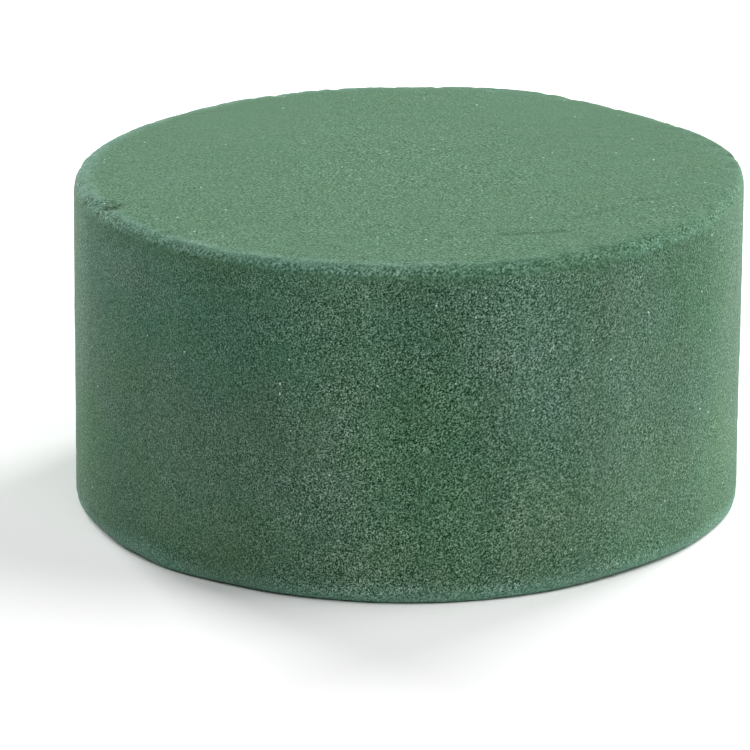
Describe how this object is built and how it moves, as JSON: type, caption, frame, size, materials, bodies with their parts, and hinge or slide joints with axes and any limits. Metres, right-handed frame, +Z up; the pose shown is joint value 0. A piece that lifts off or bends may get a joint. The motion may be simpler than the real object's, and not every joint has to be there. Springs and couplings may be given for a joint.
{
  "type": "floral foam brick",
  "caption": "Round block of green rigid open-cell floral foam with flat cut faces, a straight wall and a softly rounded upper rim, for holding cut flower stems.",
  "frame": {"origin": "centre of the flat base, on the block's own axis", "axes": "+Z up along the block's axis towards the face that stems are pushed into; +X to the right and +Y away in the view from the front"},
  "size_m": [0.08, 0.08, 0.04],
  "materials": {
    "foam": "matte, finely pitted cut foam"
  },
  "bodies": {
    "root": {"foam_block": "foam"}
  },
  "joints": []
}
